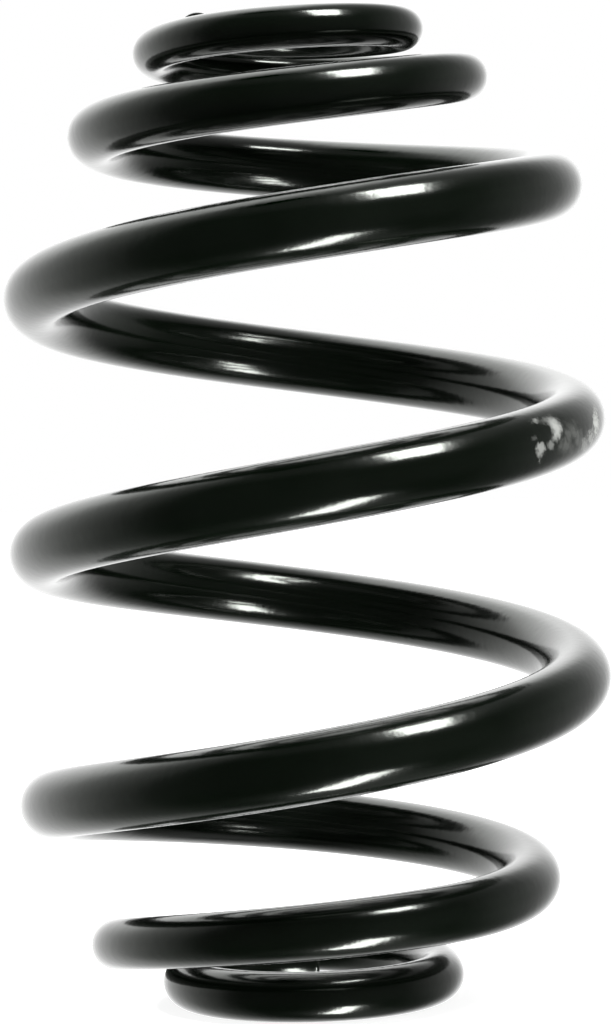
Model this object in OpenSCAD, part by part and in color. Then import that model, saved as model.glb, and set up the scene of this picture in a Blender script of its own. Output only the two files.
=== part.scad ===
// Barrel-wound compression spring from one tapered round wire.
// Units are mm. The coil axis is Z, the underside of the bottom end coil is z = 0.
// Turns are counted along the wire from the bottom tip; the coil is right-hand.

/* [Wire] */
// Wire diameter through the middle turns
wire_d = 13.5; // [11:0.5:16]
// Wire diameter along the bottom end coil
bottom_wire_d = 9.8; // [8:0.2:11]
// Wire diameter along the top end coil
top_wire_d = 8.4; // [7:0.2:10]
// Bevel round the cut face at each wire tip
tip_bevel = 0.8; // [0.4:0.2:1.6]

/* [Barrel] */
// Outside diameter over the middle turns
barrel_od = 120; // [105:1:140]
// Turns wound at full diameter and full pitch
middle_turns = 1.4; // [1.2:0.1:1.6]
// Free length, from the bottom seat to the top of the last coil
free_length = 200; // [170:1:240]

/* [End coils] */
// Outside diameter of the bottom end coil
bottom_coil_od = 57; // [50:1:66]
// Outside diameter of the top end coil
top_coil_od = 51; // [44:1:60]
// Clear gap left outside the bottom tip for the turn that passes round it
bottom_tip_gap = 1.2; // [1:0.2:3]
// Clear gap left outside the top tip for the turn that passes round it
top_tip_gap = 1; // [0.8:0.2:3]
// Direction in which the bottom tip lies, degrees from +X
start_angle = 90; // [0:90:270]

/* [Hidden] */
ring_sides = 20;
rings_per_turn = 40;

barrel_r = (barrel_od - wire_d) / 2;
bottom_r = (bottom_coil_od - bottom_wire_d) / 2;
top_r = (top_coil_od - top_wire_d) / 2;

// Turns over which the wire flares out to the barrel, and those over which it necks in again
flare_turns = 2.75;
neck_turns = 3.05;
neck_start = flare_turns + middle_turns;
turns = neck_start + neck_turns;

// Pitch at stations, as a share of the middle pitch; the upper ones are counted from neck_start
lower_pitch = [[0, 0], [0.9, 0], [1.25, 0.81], [1.6, 0.2], [2.05, 0.75], [2.55, 1]];
upper_pitch = [
    [-0.2, 1], [0.4, 0.84], [0.8, 0.5], [1.1, 0.22], [1.45, 0.52], [1.8, 0.22], [2.3, 0.15], [neck_turns, 0]
];
pitch_table = concat(lower_pitch, [for (s = upper_pitch) [s[0] + neck_start, s[1]]]);

// Wire taper: [turn where it starts, turns it takes]
bottom_taper = [1.1, 1.15];
top_taper = [0.4, 1.8];

function clamp01(x) = min(max(x, 0), 1);

// Smooth step from 0 to 1
function ease(x) = let (c = clamp01(x)) c * c * (3 - 2 * c);

// Index of the table span that holds u
function span(table, u, i = 0) =
    i >= len(table) - 2 || u < table[i + 1][0] ? i : span(table, u, i + 1);

function slope(table, i) = (table[i + 1][1] - table[i][1]) / (table[i + 1][0] - table[i][0]);

// Tangent at a station that never overshoots its neighbours
function tangent(table, i) =
    i <= 0 || i >= len(table) - 1 ? 0 :
    let (a = slope(table, i - 1), b = slope(table, i))
    a * b <= 0 ? 0 : 2 * a * b / (a + b);

// Smooth curve through the stations of a table
function curve(table, u) =
    let (
        i = span(table, u),
        h = table[i + 1][0] - table[i][0],
        x = clamp01((u - table[i][0]) / h)
    )
    table[i][1] * (1 + x * x * (2 * x - 3))
    + table[i + 1][1] * x * x * (3 - 2 * x)
    + h * tangent(table, i) * x * (1 - x) * (1 - x)
    - h * tangent(table, i + 1) * x * x * (1 - x);

// Area under a table of straight pitch spans, from its start up to turn u
function area(table, u, i = 0) =
    i > len(table) - 2 || u <= table[i][0] ? 0 :
    let (x = min(u, table[i + 1][0]) - table[i][0])
    x * (table[i][1] + slope(table, i) * x / 2) + area(table, u, i + 1);

// Height of the wire's centre above the seat at turn u
total_rise = free_length - (bottom_wire_d + top_wire_d) / 2;
function height_at(u) =
    bottom_wire_d / 2 + total_rise * area(pitch_table, u) / area(pitch_table, turns);

// The flare: level end coil, a step out past the bottom tip, then out to the barrel
lower_swell = barrel_r - bottom_r;
past_bottom_tip = bottom_r + bottom_wire_d + bottom_tip_gap;
flare = [
    [0, bottom_r],
    [0.35, bottom_r + 0.12 * lower_swell],
    [0.75, bottom_r + 0.02 * lower_swell],
    [1, past_bottom_tip],
    [1.15, past_bottom_tip + 0.19 * lower_swell],
    [1.65, past_bottom_tip + 0.24 * lower_swell],
    [2.15, bottom_r + 0.96 * lower_swell],
    [flare_turns, barrel_r]
];

// The neck: in from the barrel, past the top tip with its gap, and into the top end coil
upper_swell = barrel_r - top_r;
last_turn_rise = height_at(turns) - height_at(turns - 1);
past_top_tip = top_r + sqrt(max(pow(top_wire_d + top_tip_gap, 2) - pow(last_turn_rise, 2), 0));
neck = [
    [0, barrel_r],
    [0.6, top_r + 0.89 * upper_swell],
    [1.1, top_r + 0.6 * upper_swell],
    [1.6, top_r + 0.37 * upper_swell],
    [neck_turns - 1, past_top_tip],
    [neck_turns - 0.45, top_r],
    [neck_turns, top_r]
];
radius_table = concat(flare, [for (s = neck) [s[0] + neck_start, s[1]]]);

// Wire diameter, coil mean radius and direction at turn u
function wire_at(u) =
    wire_d
    - (wire_d - bottom_wire_d) * (1 - ease((u - bottom_taper[0]) / bottom_taper[1]))
    - (wire_d - top_wire_d) * ease((u - neck_start - top_taper[0]) / top_taper[1]);
function radius_at(u) = curve(radius_table, u);
function angle_at(u) = start_angle + 360 * u;
function centre_at(u) =
    let (r = radius_at(u), a = angle_at(u)) [r * cos(a), r * sin(a), height_at(u)];

// Unit vector along the wire at turn u
function along(u) =
    let (
        e = 0.002,
        v = centre_at(min(u + e, turns)) - centre_at(max(u - e, 0))
    )
    v / norm(v);

// One ring of points square to the wire, of radius r, at turn u
function ring(u, r) =
    let (
        t = along(u),
        a = angle_at(u),
        out = [cos(a), sin(a), 0],
        n0 = out - (out * t) * t,
        n = n0 / norm(n0),
        b = cross(n, t),
        c = centre_at(u)
    )
    [for (k = [0:ring_sides - 1]) c + r * (cos(360 * k / ring_sides) * n + sin(360 * k / ring_sides) * b)];

// Stations of the rings: [turn, ring radius], with a bevel at each tip
bottom_bevel_u = tip_bevel / (2 * PI * bottom_r);
top_bevel_u = tip_bevel / (2 * PI * top_r);
steps = round(turns * rings_per_turn);
stations = concat(
    [[0, bottom_wire_d / 2 - tip_bevel], [bottom_bevel_u, bottom_wire_d / 2]],
    [for (i = [1:steps - 1]) let (u = turns * i / steps) [u, wire_at(u) / 2]],
    [[turns - top_bevel_u, top_wire_d / 2], [turns, top_wire_d / 2 - tip_bevel]]
);
last = len(stations) - 1;

wire_points = [for (s = stations) each ring(s[0], s[1])];
wire_faces = concat(
    [[for (k = [ring_sides - 1:-1:0]) k]],
    [for (i = [0:last - 1]) for (k = [0:ring_sides - 1])
        let (
            a = i * ring_sides + k,
            b = i * ring_sides + (k + 1) % ring_sides,
            c = b + ring_sides,
            d = a + ring_sides
        )
        each [[a, b, d], [b, c, d]]],
    [[for (k = [0:ring_sides - 1]) last * ring_sides + k]]
);

module spring()
    color([0.03, 0.035, 0.03])
        polyhedron(points = wire_points, faces = wire_faces, convexity = 16);

spring();
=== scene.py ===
# Barrel-wound suspension spring in gloss black paint, standing on a white studio floor.
# Lengths are metres. Turns are counted along the wire from the bottom tip, as in the CAD model.
import math

import bmesh
import bpy
from mathutils import Matrix, Vector


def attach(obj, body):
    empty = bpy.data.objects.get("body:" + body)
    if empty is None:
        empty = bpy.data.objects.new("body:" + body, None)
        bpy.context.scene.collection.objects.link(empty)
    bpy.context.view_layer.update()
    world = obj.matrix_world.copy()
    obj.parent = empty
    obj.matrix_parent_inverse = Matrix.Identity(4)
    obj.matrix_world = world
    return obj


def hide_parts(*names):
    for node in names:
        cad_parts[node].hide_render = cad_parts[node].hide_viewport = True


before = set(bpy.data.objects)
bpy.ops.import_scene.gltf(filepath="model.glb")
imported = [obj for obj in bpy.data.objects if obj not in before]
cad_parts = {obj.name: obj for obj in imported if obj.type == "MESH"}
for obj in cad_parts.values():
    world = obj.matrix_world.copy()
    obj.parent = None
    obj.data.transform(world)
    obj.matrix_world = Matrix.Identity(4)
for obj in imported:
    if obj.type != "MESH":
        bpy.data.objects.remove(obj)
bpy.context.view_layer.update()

# Sizes of the wire and the coil
MM = 0.001
WIRE, BOTTOM_WIRE, TOP_WIRE = 13.5 * MM, 9.8 * MM, 8.4 * MM
# Outside diameters of the barrel and the two end coils
BARREL_OD, BOTTOM_COIL_OD, TOP_COIL_OD = 120 * MM, 57 * MM, 51 * MM
FREE_LENGTH = 200 * MM
BOTTOM_TIP_GAP, TOP_TIP_GAP = 1.2 * MM, 1 * MM
TIP_BEVEL = 0.8 * MM
START_ANGLE = math.radians(90)

BARREL_R = (BARREL_OD - WIRE) / 2
BOTTOM_R = (BOTTOM_COIL_OD - BOTTOM_WIRE) / 2
TOP_R = (TOP_COIL_OD - TOP_WIRE) / 2

FLARE_TURNS, MIDDLE_TURNS, NECK_TURNS = 2.75, 1.4, 3.05
NECK_START = FLARE_TURNS + MIDDLE_TURNS
TURNS = NECK_START + NECK_TURNS
TOTAL_RISE = FREE_LENGTH - (BOTTOM_WIRE + TOP_WIRE) / 2

# Each taper: the turn where it starts and the turns that it takes
BOTTOM_TAPER = (1.1, 1.15)
TOP_TAPER = (NECK_START + 0.4, 1.8)

# Fineness of the drawn wire. TANGENT_STEP is in turns, and WELD joins the ends of its lengths.
SIDES = 48
RINGS_PER_TURN = 96
RINGS_PER_LENGTH = 40
RINGS = round(TURNS * RINGS_PER_TURN)
TANGENT_STEP = 0.002
BEVEL_STEPS = 5
WELD = 0.001 * MM


def after_barrel(stations):
    """Stations counted from the start of the neck, as turns from the bottom tip."""
    return [(turn + NECK_START, value) for turn, value in stations]


# Pitch as a share of the middle pitch
PITCH = [
    (0, 0), (0.9, 0), (1.25, 0.81), (1.6, 0.2), (2.05, 0.75), (2.55, 1),
] + after_barrel([
    (-0.2, 1), (0.4, 0.84), (0.8, 0.5), (1.1, 0.22), (1.45, 0.52), (1.8, 0.22), (2.3, 0.15),
    (NECK_TURNS, 0),
])


def eased(x):
    """Smooth step from 0 to 1."""
    x = min(max(x, 0.0), 1.0)
    return x * x * (3 - 2 * x)


def slope(table, i):
    """Slope of the straight span after a station."""
    return (table[i + 1][1] - table[i][1]) / (table[i + 1][0] - table[i][0])


def tangent(table, i):
    """Tangent at a station that never overshoots its neighbours."""
    if i <= 0 or i >= len(table) - 1:
        return 0.0
    a, b = slope(table, i - 1), slope(table, i)
    return 0.0 if a * b <= 0 else 2 * a * b / (a + b)


def curve(table, turn):
    """Smooth curve through the stations of a table."""
    i = 0
    while i < len(table) - 2 and turn >= table[i + 1][0]:
        i += 1
    h = table[i + 1][0] - table[i][0]
    x = min(max((turn - table[i][0]) / h, 0.0), 1.0)
    return (
        table[i][1] * (1 + x * x * (2 * x - 3))
        + table[i + 1][1] * x * x * (3 - 2 * x)
        + h * tangent(table, i) * x * (1 - x) * (1 - x)
        - h * tangent(table, i + 1) * x * x * (1 - x)
    )


def area(table, turn):
    """Area under a table of straight spans, from its start up to a turn."""
    total = 0.0
    for i in range(len(table) - 1):
        x = min(turn, table[i + 1][0]) - table[i][0]
        if x <= 0:
            break
        total += x * (table[i][1] + slope(table, i) * x / 2)
    return total


def height_at(turn):
    """Height of the middle of the wire at a turn."""
    return BOTTOM_WIRE / 2 + TOTAL_RISE * area(PITCH, turn) / area(PITCH, TURNS)


# Coil radius: a flare past the bottom tip out to the barrel, and a neck in past the top tip
LOWER_SWELL, UPPER_SWELL = BARREL_R - BOTTOM_R, BARREL_R - TOP_R
LAST_TURN_RISE = height_at(TURNS) - height_at(TURNS - 1)
PAST_BOTTOM_TIP = BOTTOM_R + BOTTOM_WIRE + BOTTOM_TIP_GAP
PAST_TOP_TIP = TOP_R + math.sqrt(max((TOP_WIRE + TOP_TIP_GAP) ** 2 - LAST_TURN_RISE ** 2, 0))
RADIUS = [
    (0, BOTTOM_R),
    (0.35, BOTTOM_R + 0.12 * LOWER_SWELL),
    (0.75, BOTTOM_R + 0.02 * LOWER_SWELL),
    (1, PAST_BOTTOM_TIP),
    (1.15, PAST_BOTTOM_TIP + 0.19 * LOWER_SWELL),
    (1.65, PAST_BOTTOM_TIP + 0.24 * LOWER_SWELL),
    (2.15, BOTTOM_R + 0.96 * LOWER_SWELL),
    (FLARE_TURNS, BARREL_R),
] + after_barrel([
    (0, BARREL_R),
    (0.6, TOP_R + 0.89 * UPPER_SWELL),
    (1.1, TOP_R + 0.6 * UPPER_SWELL),
    (1.6, TOP_R + 0.37 * UPPER_SWELL),
    (NECK_TURNS - 1, PAST_TOP_TIP),
    (NECK_TURNS - 0.45, TOP_R),
    (NECK_TURNS, TOP_R),
])


def tapered(turn, taper):
    """0 before a taper, 1 after it."""
    start, length = taper
    return eased((turn - start) / length)


def wire_at(turn):
    """Wire diameter at a turn."""
    return (
        WIRE
        - (WIRE - BOTTOM_WIRE) * (1 - tapered(turn, BOTTOM_TAPER))
        - (WIRE - TOP_WIRE) * tapered(turn, TOP_TAPER)
    )


def angle_at(turn):
    """Angle round the axis at a turn, from +X."""
    return START_ANGLE + 2 * math.pi * turn


def centre_at(turn):
    """Middle of the wire at a turn."""
    radius, angle = curve(RADIUS, turn), angle_at(turn)
    return Vector((radius * math.cos(angle), radius * math.sin(angle), height_at(turn)))


def section_at(turn):
    """Places a circle of radius 1 square to the wire at a turn, at the wire's own radius."""
    ahead, back = min(turn + TANGENT_STEP, TURNS), max(turn - TANGENT_STEP, 0)
    along = (centre_at(ahead) - centre_at(back)).normalized()
    angle = angle_at(turn)
    out = Vector((math.cos(angle), math.sin(angle), 0))
    out = (out - out.dot(along) * along).normalized()
    place = Matrix((out, along.cross(out), along)).transposed().to_4x4()
    place = place @ Matrix.Scale(wire_at(turn) / 2, 4)
    place.translation = centre_at(turn)
    return place


# The wire, drawn along its path
def drawn_length(first, last):
    """Skin of the wire from one ring to another, open at both ends."""
    bm = bmesh.new()
    here = section_at(TURNS * first / RINGS)
    bmesh.ops.create_circle(bm, cap_ends=False, segments=SIDES, radius=1, matrix=here)
    rim = list(bm.edges)
    for i in range(first + 1, last + 1):
        grown = bmesh.ops.extrude_edge_only(bm, edges=rim)["geom"]
        rim = [g for g in grown if isinstance(g, bmesh.types.BMEdge)]
        there = section_at(TURNS * i / RINGS)
        moved = [g for g in grown if isinstance(g, bmesh.types.BMVert)]
        bmesh.ops.transform(bm, matrix=there @ here.inverted(), verts=moved)
        here = there
    mesh = bpy.data.meshes.new("length")
    bm.to_mesh(mesh)
    bm.free()
    return mesh


def in_scene(name, data):
    """A new object in the scene that holds a mesh, a light or a camera."""
    item = bpy.data.objects.new(name, data)
    bpy.context.scene.collection.objects.link(item)
    return item


def draw_wire():
    """The whole wire: its lengths welded end to end, then closed with a cut face at each tip."""
    bm = bmesh.new()
    for first in range(0, RINGS, RINGS_PER_LENGTH):
        mesh = drawn_length(first, min(first + RINGS_PER_LENGTH, RINGS))
        bm.from_mesh(mesh)
        bpy.data.meshes.remove(mesh)
    bmesh.ops.remove_doubles(bm, verts=bm.verts, dist=WELD)
    cuts = bmesh.ops.edgeloop_fill(bm, edges=[e for e in bm.edges if e.is_boundary])["faces"]
    bmesh.ops.recalc_face_normals(bm, faces=bm.faces)
    for cut in cuts:
        bmesh.ops.bevel(
            bm, geom=list(cut.edges), offset=TIP_BEVEL, offset_type="OFFSET",
            segments=BEVEL_STEPS, profile=0.5, affect="EDGES", material=-1, clamp_overlap=True,
        )
    mesh = bpy.data.meshes.new("spring_wire")
    bm.to_mesh(mesh)
    bm.free()
    mesh.shade_smooth()
    return in_scene("spring_wire", mesh)


# Shader maths
class Value:
    """A socket that Python's operators turn into Math nodes."""

    def __init__(self, shop, socket):
        self.shop, self.socket = shop, socket

    def math(self, operation, *others):
        sockets = dict(enumerate((self, *others)))
        return self.shop.node("ShaderNodeMath", {"operation": operation}, sockets)

    def __add__(self, other):
        return self.math("ADD", other)

    def __sub__(self, other):
        return self.math("SUBTRACT", other)

    def __mul__(self, other):
        return self.math("MULTIPLY", other)

    def __truediv__(self, other):
        return self.math("DIVIDE", other)

    def __rsub__(self, other):
        return self.shop.node("ShaderNodeMath", {"operation": "SUBTRACT"}, {0: other, 1: self})

    __radd__ = __add__
    __rmul__ = __mul__

    def step(self, low, high):
        """0 below low, 1 above high, and smooth between them."""
        return self.shop.node(
            "ShaderNodeMapRange", {"interpolation_type": "SMOOTHSTEP"},
            {"Value": self, "From Min": low, "From Max": high},
        )

    def output(self, name):
        """Another output of the node that this value comes from."""
        return Value(self.shop, self.socket.node.outputs[name])


def between(low, high, factor):
    """low where factor is 0, high where it is 1."""
    return low + factor * (high - low)


def set_stops(color_ramp, stops):
    """Gives a ramp a grey level at each stop, straight between them."""
    while len(color_ramp.elements) < len(stops):
        color_ramp.elements.new(0.5)
    for element, (position, level) in zip(color_ramp.elements, stops):
        element.position, element.color = position, (level, level, level, 1)


class Shop:
    """Adds nodes to one node tree."""

    def __init__(self, owner):
        owner.use_nodes = True
        self.tree = owner.node_tree
        self.tree.nodes.clear()

    def node(self, kind, settings, sockets, out=0):
        made = self.tree.nodes.new(kind)
        for name, setting in settings.items():
            if name == "stops":
                set_stops(made.color_ramp, setting)
            else:
                setattr(made, name, setting)
        for key, given in sockets.items():
            socket = made.inputs[key]
            if isinstance(given, Value):
                self.tree.links.new(given.socket, socket)
            else:
                socket.default_value = given
        return Value(self, made.outputs[out]) if made.outputs else None

    def blend(self, factor, below, above):
        """Colour below where factor is 0, colour above where it is 1."""
        # A Mix node's colours go in at sockets 6 and 7 and come out at 2
        return self.node("ShaderNodeMix", {"data_type": "RGBA"}, {0: factor, 6: below, 7: above}, 2)

    def noise(self, where, scale, detail=2.0, roughness=0.5):
        return self.node(
            "ShaderNodeTexNoise", {},
            {"Vector": where, "Scale": scale, "Detail": detail, "Roughness": roughness},
        )

    def far_from(self, where, point):
        """Distance from a point."""
        return self.node("ShaderNodeVectorMath", {"operation": "DISTANCE"}, {0: where, 1: point}, 1)

    def split(self, vector):
        """The three coordinates of a vector."""
        x = self.node("ShaderNodeSeparateXYZ", {}, {"Vector": vector}, "X")
        return x, x.output("Y"), x.output("Z")


# Paint: colours, gloss, and the size and height of its relief
PAINT_DEEP, PAINT_THIN = (0.0009, 0.0021, 0.0009, 1), (0.0019, 0.0034, 0.0019, 1)
WORN_COLOUR = (0.42, 0.43, 0.41, 1)
PAINT_SHEEN = (0.95, 1, 0.93, 1)
PAINT_IOR = 1.5
PAINT_ROUGHNESS, CLOUD_ROUGHNESS, CUT_ROUGHNESS, WORN_ROUGHNESS = 0.13, 0.05, 0.1, 0.55
PEEL_SCALE, SAG_SCALE, CLOUD_SCALE = 700, 130, 45
BLOTCH_SCALE, FRAY_SCALE, SHEAR_SCALE = 320, 1100, 260
PEEL_HEIGHT, SAG_HEIGHT, SHEAR_HEIGHT, WORN_HEIGHT = 0.022 * MM, 0.04 * MM, 0.06 * MM, 0.02 * MM
CLOUD_SPAN = (0.35, 0.7)

# How far from the middle of each tip its sheared face ends
BOTTOM_CUT_EDGE, TOP_CUT_EDGE = (3.8 * MM, 4.5 * MM), (3.2 * MM, 3.9 * MM)

# Worn marks on the fourth coil from the top, as flat shapes seen from the front. Each shape is its place
# across and up, its half width, its half height and the softness of its edge, in mm.
CRESCENT = (46.5, 113.95, 2.4, 2.4, 0.7)
CRESCENT_BITE = (44.8, 113.2, 2.45, 2.45, 0.6)
CRESCENT_HEART = (47.6, 114, 1.6, 1.7, 1)
MOTTLE = (50.8, 112.4, 3.6, 2.8, 1.2)
CRESCENT_STRENGTH, HEART_STRENGTH, MOTTLE_STRENGTH = 0.3, 0.5, 0.12
MOTTLE_SPAN = (0.35, 0.65)
BLOTCH_LEAST, BLOTCH_SWING = 0.75, 0.5

# Each daub: its strength, then its shape
DAUB_SOFTNESS = 0.4
DAUBS = [
    (0.3, 46.5, 111.1, 0.7, 0.7),
    (0.5, 44.5, 110.5, 0.8, 1),
    (0.42, 44.2, 109.6, 0.5, 1),
    (0.38, 43.6, 115.8, 0.6, 0.35),
    (0.1, 43.2, 112.5, 0.4, 0.4),
    (0.9, 56.75, 115, 0.6, 2.2),
    (0.45, 55.3, 112.2, 0.6, 1.2),
    (0.3, 53.9, 110.8, 0.7, 1.3),
]

# How far the edge of a mark frays, in mm
FRAY_WIDTH = 1.5

# Wear is kept to the outer side of the barrel's wire, and to its front
OUTER_SIDE, FRONT_SIDE = (54 * MM, 56 * MM), (8 * MM, 12 * MM)


def worn_marks(shop, where):
    """Strength of the wear: frayed flat shapes cast from the front onto the coil."""
    x, y, z = shop.split(where)
    blotch = shop.noise(where, BLOTCH_SCALE)
    fray = (shop.noise(where, FRAY_SCALE, roughness=0.6) - 0.5) * FRAY_WIDTH

    def mark(across, up, wide, tall, soft=DAUB_SOFTNESS):
        """1 inside a frayed oval, 0 outside."""
        off_x, off_z = (x - across * MM) / (wide * MM), (z - up * MM) / (tall * MM)
        past_edge = ((off_x * off_x + off_z * off_z).math("SQRT") - 1) * min(wide, tall) + fray
        return 1 - past_edge.step(-soft, soft)

    worn = mark(*CRESCENT) * (1 - mark(*CRESCENT_BITE))
    worn = worn * (CRESCENT_STRENGTH + mark(*CRESCENT_HEART) * HEART_STRENGTH)
    worn = worn * (BLOTCH_LEAST + blotch * BLOTCH_SWING)
    for strength, *shape in DAUBS:
        worn = worn.math("MAXIMUM", mark(*shape) * strength)
    worn = worn.math("MAXIMUM", mark(*MOTTLE) * blotch.step(*MOTTLE_SPAN) * MOTTLE_STRENGTH)
    from_axis = (x * x + y * y).math("SQRT")
    return worn * from_axis.step(*OUTER_SIDE) * (y * -1).step(*FRONT_SIDE)


def cut_faces(shop, where):
    """1 on the sheared face at each tip, 0 elsewhere."""
    past_bottom = shop.far_from(where, centre_at(0)).step(*BOTTOM_CUT_EDGE)
    past_top = shop.far_from(where, centre_at(TURNS)).step(*TOP_CUT_EDGE)
    return (1 - past_bottom).math("MAXIMUM", 1 - past_top)


def black_paint():
    """Gloss black paint on shot-peened steel, with pale worn marks and a sheared face at each tip."""
    material = bpy.data.materials.new("gloss_black_paint")
    shop = Shop(material)
    where = shop.node("ShaderNodeTexCoord", {}, {}, "Object")
    peel = shop.noise(where, PEEL_SCALE, detail=3)
    sag = shop.noise(where, SAG_SCALE)
    cloud = shop.noise(where, CLOUD_SCALE, detail=3)
    worn = worn_marks(shop, where)
    cut = cut_faces(shop, where)
    shear = shop.node(
        "ShaderNodeTexWave", {"wave_type": "BANDS", "bands_direction": "Z"},
        {"Vector": where, "Scale": SHEAR_SCALE, "Distortion": 3, "Detail": 2},
    )

    colour = shop.blend(cloud.step(*CLOUD_SPAN), PAINT_DEEP, PAINT_THIN)
    colour = shop.blend(worn, colour, WORN_COLOUR)
    roughness = PAINT_ROUGHNESS + cloud * CLOUD_ROUGHNESS + cut * CUT_ROUGHNESS
    roughness = between(roughness, WORN_ROUGHNESS, worn)
    relief = peel * PEEL_HEIGHT + sag * SAG_HEIGHT + cut * shear * SHEAR_HEIGHT + worn * WORN_HEIGHT
    bump = shop.node("ShaderNodeBump", {}, {"Strength": 1, "Distance": 1, "Height": relief})
    surface = shop.node(
        "ShaderNodeBsdfPrincipled", {},
        {
            "Base Color": colour, "Roughness": roughness, "Normal": bump, "IOR": PAINT_IOR,
            "Specular Tint": PAINT_SHEEN,
        },
    )
    shop.node("ShaderNodeOutputMaterial", {}, {"Surface": surface})
    return material


# The studio: two rectangular lamps, a white floor, and walls that only the gloss sees
LAMP_TARGET = (0, 0, FREE_LENGTH / 2)
FLOOR_HALF_SIZE, FLOOR_DROP = 4, 0.1 * MM
FLOOR_GREY, FLOOR_GLOW = (0.8, 0.8, 0.8, 1), 0.86
WHITE = (1, 1, 1, 1)

# Level of the room's light for all but the gloss, and of the walls that the gloss sees, by azimuth in
# degrees: 0 is towards the camera, more is to its right
ROOM_LEVEL = 0.45
WALL_LEVELS = [
    (-180, 1.75), (-165, 1.6), (-130, 1.5), (-110, 1.15), (-90, 0.68), (-75, 0.34), (-66, 0.12),
    (-55, 0.055), (-10, 0.045), (30, 0.09), (75, 0.1), (92, 0.25), (130, 0.57), (150, 1.08),
    (165, 1.65), (180, 1.75),
]
WALL_SCALE = 2

# Spans over which the walls' light changes. REAR, SIDE and RIGHT_HALF are how far the level part of a
# direction points to the rear or to the right, and CEILING_EDGE_REAR is how far the direction itself
# points to the rear. A RISE is the sine of the elevation, going up, and a FALL going down, but an
# OUTWARD_FALL is its cosine. Each LOSS and GAIN is a share of the wall's level.
REAR, SIDE, RIGHT_HALF = (0.3, 0.8), (0.4, 0.8), (-0.05, 0.4)
HORIZON_FALL = (-0.02, 0.02)
LEFT_REAR_RISE, LEFT_REAR_GAIN = (0.1, 0.65), 0.75
CEILING_RISE, CEILING_LOSS = (0.9, 1), 1.1
CEILING_EDGE_RISE, CEILING_EDGE_LOSS, CEILING_EDGE_REAR = (0.5, 0.95), 0.45, (0, 0.3)
LEFT_OUTWARD_FALL, LEFT_FALL, LEFT_LOSS = (0.04, 0.88), (0.2, 0.7), 0.35
RIGHT_RISE, RIGHT_LOSS = (0.2, 0.75), 0.55
RIGHT_OUTWARD_FALL, RIGHT_SIDE_FALL, RIGHT_SIDE_LOSS = (0.3, 1), (0.1, 0.75), 0.75
POLE_SPAN, POLE_LEVEL, LOWER_RIGHT_LEVEL = (0.75, 1), 0.15, 0.12

# The camera, as fitted to the photograph; angles in radians, sensor and lens in mm
CAMERA_PLACE = (0, -0.7146, 0.11775)
CAMERA_TILT, CAMERA_ROLL = 0.02694, -0.0255
SENSOR_HEIGHT, LENS, SHIFT_X = 24, 83.33, -0.00246
CLIP = (0.01, 50)


def facing(position, target):
    """Place of a lamp at position that faces target."""
    aim = (Vector(target) - Vector(position)).to_track_quat("-Z", "Y")
    return Matrix.Translation(position) @ aim.to_matrix().to_4x4()


def soft_box(name, position, width, height, turned, radiance):
    """A rectangular lamp that faces the middle of the spring, turned in its own plane by some degrees."""
    light = bpy.data.lights.new(name, "AREA")
    light.shape = "RECTANGLE"
    light.size, light.size_y = width, height
    light.energy = radiance * math.pi * width * height
    lamp = in_scene(name, light)
    lamp.matrix_world = facing(position, LAMP_TARGET) @ Matrix.Rotation(math.radians(turned), 4, "Z")


def white_floor():
    """Floor that looks white to the camera and takes the spring's shadow."""
    bm = bmesh.new()
    drop = Matrix.Translation((0, 0, -FLOOR_DROP))
    bmesh.ops.create_grid(bm, x_segments=1, y_segments=1, size=FLOOR_HALF_SIZE, matrix=drop)
    mesh = bpy.data.meshes.new("floor")
    bm.to_mesh(mesh)
    bm.free()
    material = bpy.data.materials.new("white_floor")
    shop = Shop(material)
    camera_ray = shop.node("ShaderNodeLightPath", {}, {}, "Is Camera Ray")
    surface = shop.node(
        "ShaderNodeBsdfPrincipled", {},
        {
            "Base Color": FLOOR_GREY, "Roughness": 0.9, "Specular IOR Level": 0,
            "Emission Color": WHITE, "Emission Strength": camera_ray * FLOOR_GLOW,
        },
    )
    shop.node("ShaderNodeOutputMaterial", {}, {"Surface": surface})
    mesh.materials.append(material)
    floor = in_scene("floor", mesh)
    # The gloss sees the walls below the floor, and the lower lamp shines up through it
    floor.visible_glossy = False
    floor.visible_shadow = False


def reach_of_walls(x, y, z):
    """Share of the walls' level that is left at the elevation of a direction x, y, z."""
    down = z * -1
    outward = (x * x + y * y).math("SQRT")
    rightward = x / outward
    rear, side = (y / outward).step(*REAR), rightward.step(*SIDE)

    # Left, above: the rear wall brightens as it rises, and the ceiling and its near edge are dark
    gain = z.step(*LEFT_REAR_RISE) * rear * LEFT_REAR_GAIN
    edge = z.step(*CEILING_EDGE_RISE) * (1 - y.step(*CEILING_EDGE_REAR))
    left_above = 1 + gain - z.step(*CEILING_RISE) * CEILING_LOSS - edge * CEILING_EDGE_LOSS

    # Left, below: all dim towards straight down, and the front and side sooner than the rear
    loss = (1 - rear) * down.step(*LEFT_FALL) * LEFT_LOSS
    left_below = outward.step(*LEFT_OUTWARD_FALL) * (1 - loss)

    # Right: all dim as they rise, and below the side wall dims sooner but never goes dark
    right_above = 1 - z.step(*RIGHT_RISE) * RIGHT_LOSS
    side_below = 1 - down.step(*RIGHT_SIDE_FALL) * RIGHT_SIDE_LOSS
    right_below = between(outward.step(*RIGHT_OUTWARD_FALL), side_below, side)

    below = down.step(*HORIZON_FALL)
    left = between(left_above, left_below, below)
    right = between(right_above, right_below, below)
    return between(left, right, rightward.step(*RIGHT_HALF))


def light_at_poles(x, y, z):
    """Faint light from straight above and straight below, and a little more from the lower right."""
    rightward = x / (x * x + y * y).math("SQRT")
    below = (z * -1).step(*HORIZON_FALL)
    return z.math("ABSOLUTE").step(*POLE_SPAN) * (POLE_LEVEL + below * rightward * LOWER_RIGHT_LEVEL)


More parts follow.
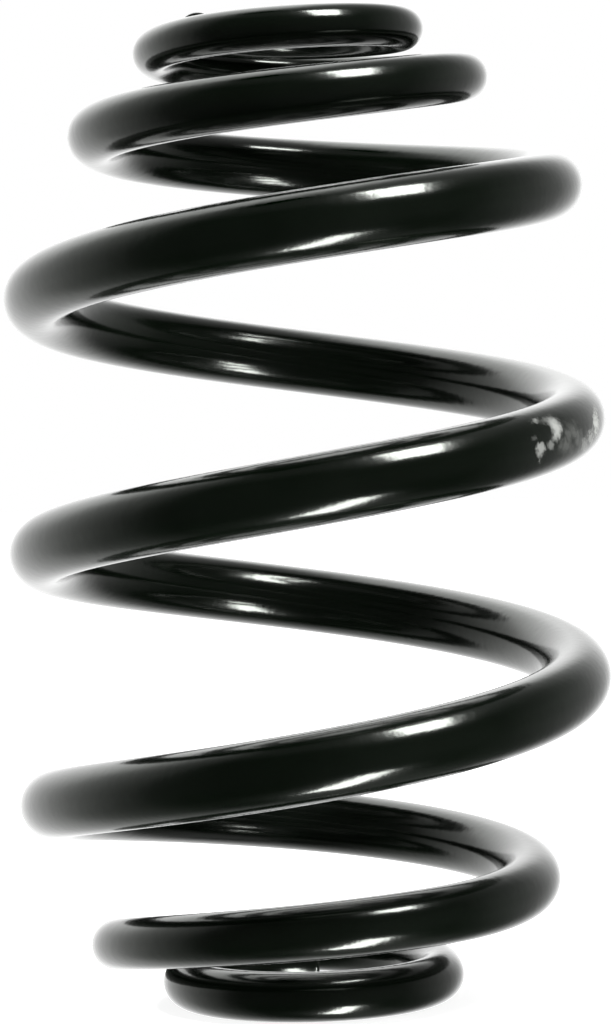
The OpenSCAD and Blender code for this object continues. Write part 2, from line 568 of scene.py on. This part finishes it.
def studio_world():
    """White to the camera; to the gloss, white walls behind and beside, and a dark room in front."""
    world = bpy.data.worlds.new("studio")
    bpy.context.scene.world = world
    shop = Shop(world)
    camera = shop.node("ShaderNodeLightPath", {}, {}, "Is Camera Ray")
    glossy, through = camera.output("Is Glossy Ray"), camera.output("Is Transmission Ray")
    x, y, z = shop.split(shop.node("ShaderNodeTexCoord", {}, {}, "Generated"))

    # The ramp runs once round the room with the camera's side halfway, and holds levels from 0 to 1
    turn = x.math("ARCTAN2", y * -1) / (2 * math.pi) + 0.5
    stops = [(azimuth / 360 + 0.5, level / WALL_SCALE) for azimuth, level in WALL_LEVELS]
    wall = shop.node("ShaderNodeValToRGB", {"stops": stops}, {0: turn}) * WALL_SCALE
    in_gloss = wall * reach_of_walls(x, y, z) + light_at_poles(x, y, z)
    # High on the left, from 74 degrees up, the ceiling's losses pass the whole level, and in_gloss falls
    # as low as -0.47. That is 0.2 % of all directions.
    level = between(ROOM_LEVEL, in_gloss, glossy)
    level = between(level, 1, camera)
    level = between(level, 1, through)
    light = shop.node("ShaderNodeBackground", {}, {"Color": WHITE, "Strength": level})
    shop.node("ShaderNodeOutputWorld", {}, {"Surface": light})


def photo_camera():
    """The photograph's camera, looking at the spring from the front."""
    data = bpy.data.cameras.new("camera")
    data.sensor_fit = "VERTICAL"
    data.sensor_height = SENSOR_HEIGHT
    data.lens = LENS
    data.shift_x = SHIFT_X
    data.clip_start, data.clip_end = CLIP
    camera = in_scene("camera", data)
    camera.matrix_world = (
        Matrix.Translation(CAMERA_PLACE)
        @ Matrix.Rotation(math.pi / 2 - CAMERA_TILT, 4, "X")
        @ Matrix.Rotation(CAMERA_ROLL, 4, "Z")
    )
    bpy.context.scene.camera = camera


bpy.context.scene.view_settings.view_transform = "Standard"
photo_camera()
studio_world()
white_floor()
soft_box("upper_soft_box", (0.378, -0.318, 0.966), width=0.28, height=0.49, turned=-20, radiance=34)
soft_box("lower_soft_box", (0.218, -0.335, -0.593), width=0.15, height=0.43, turned=0, radiance=30)

wire = draw_wire()
wire.data.materials.append(black_paint())
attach(wire, "root")
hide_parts("spring")
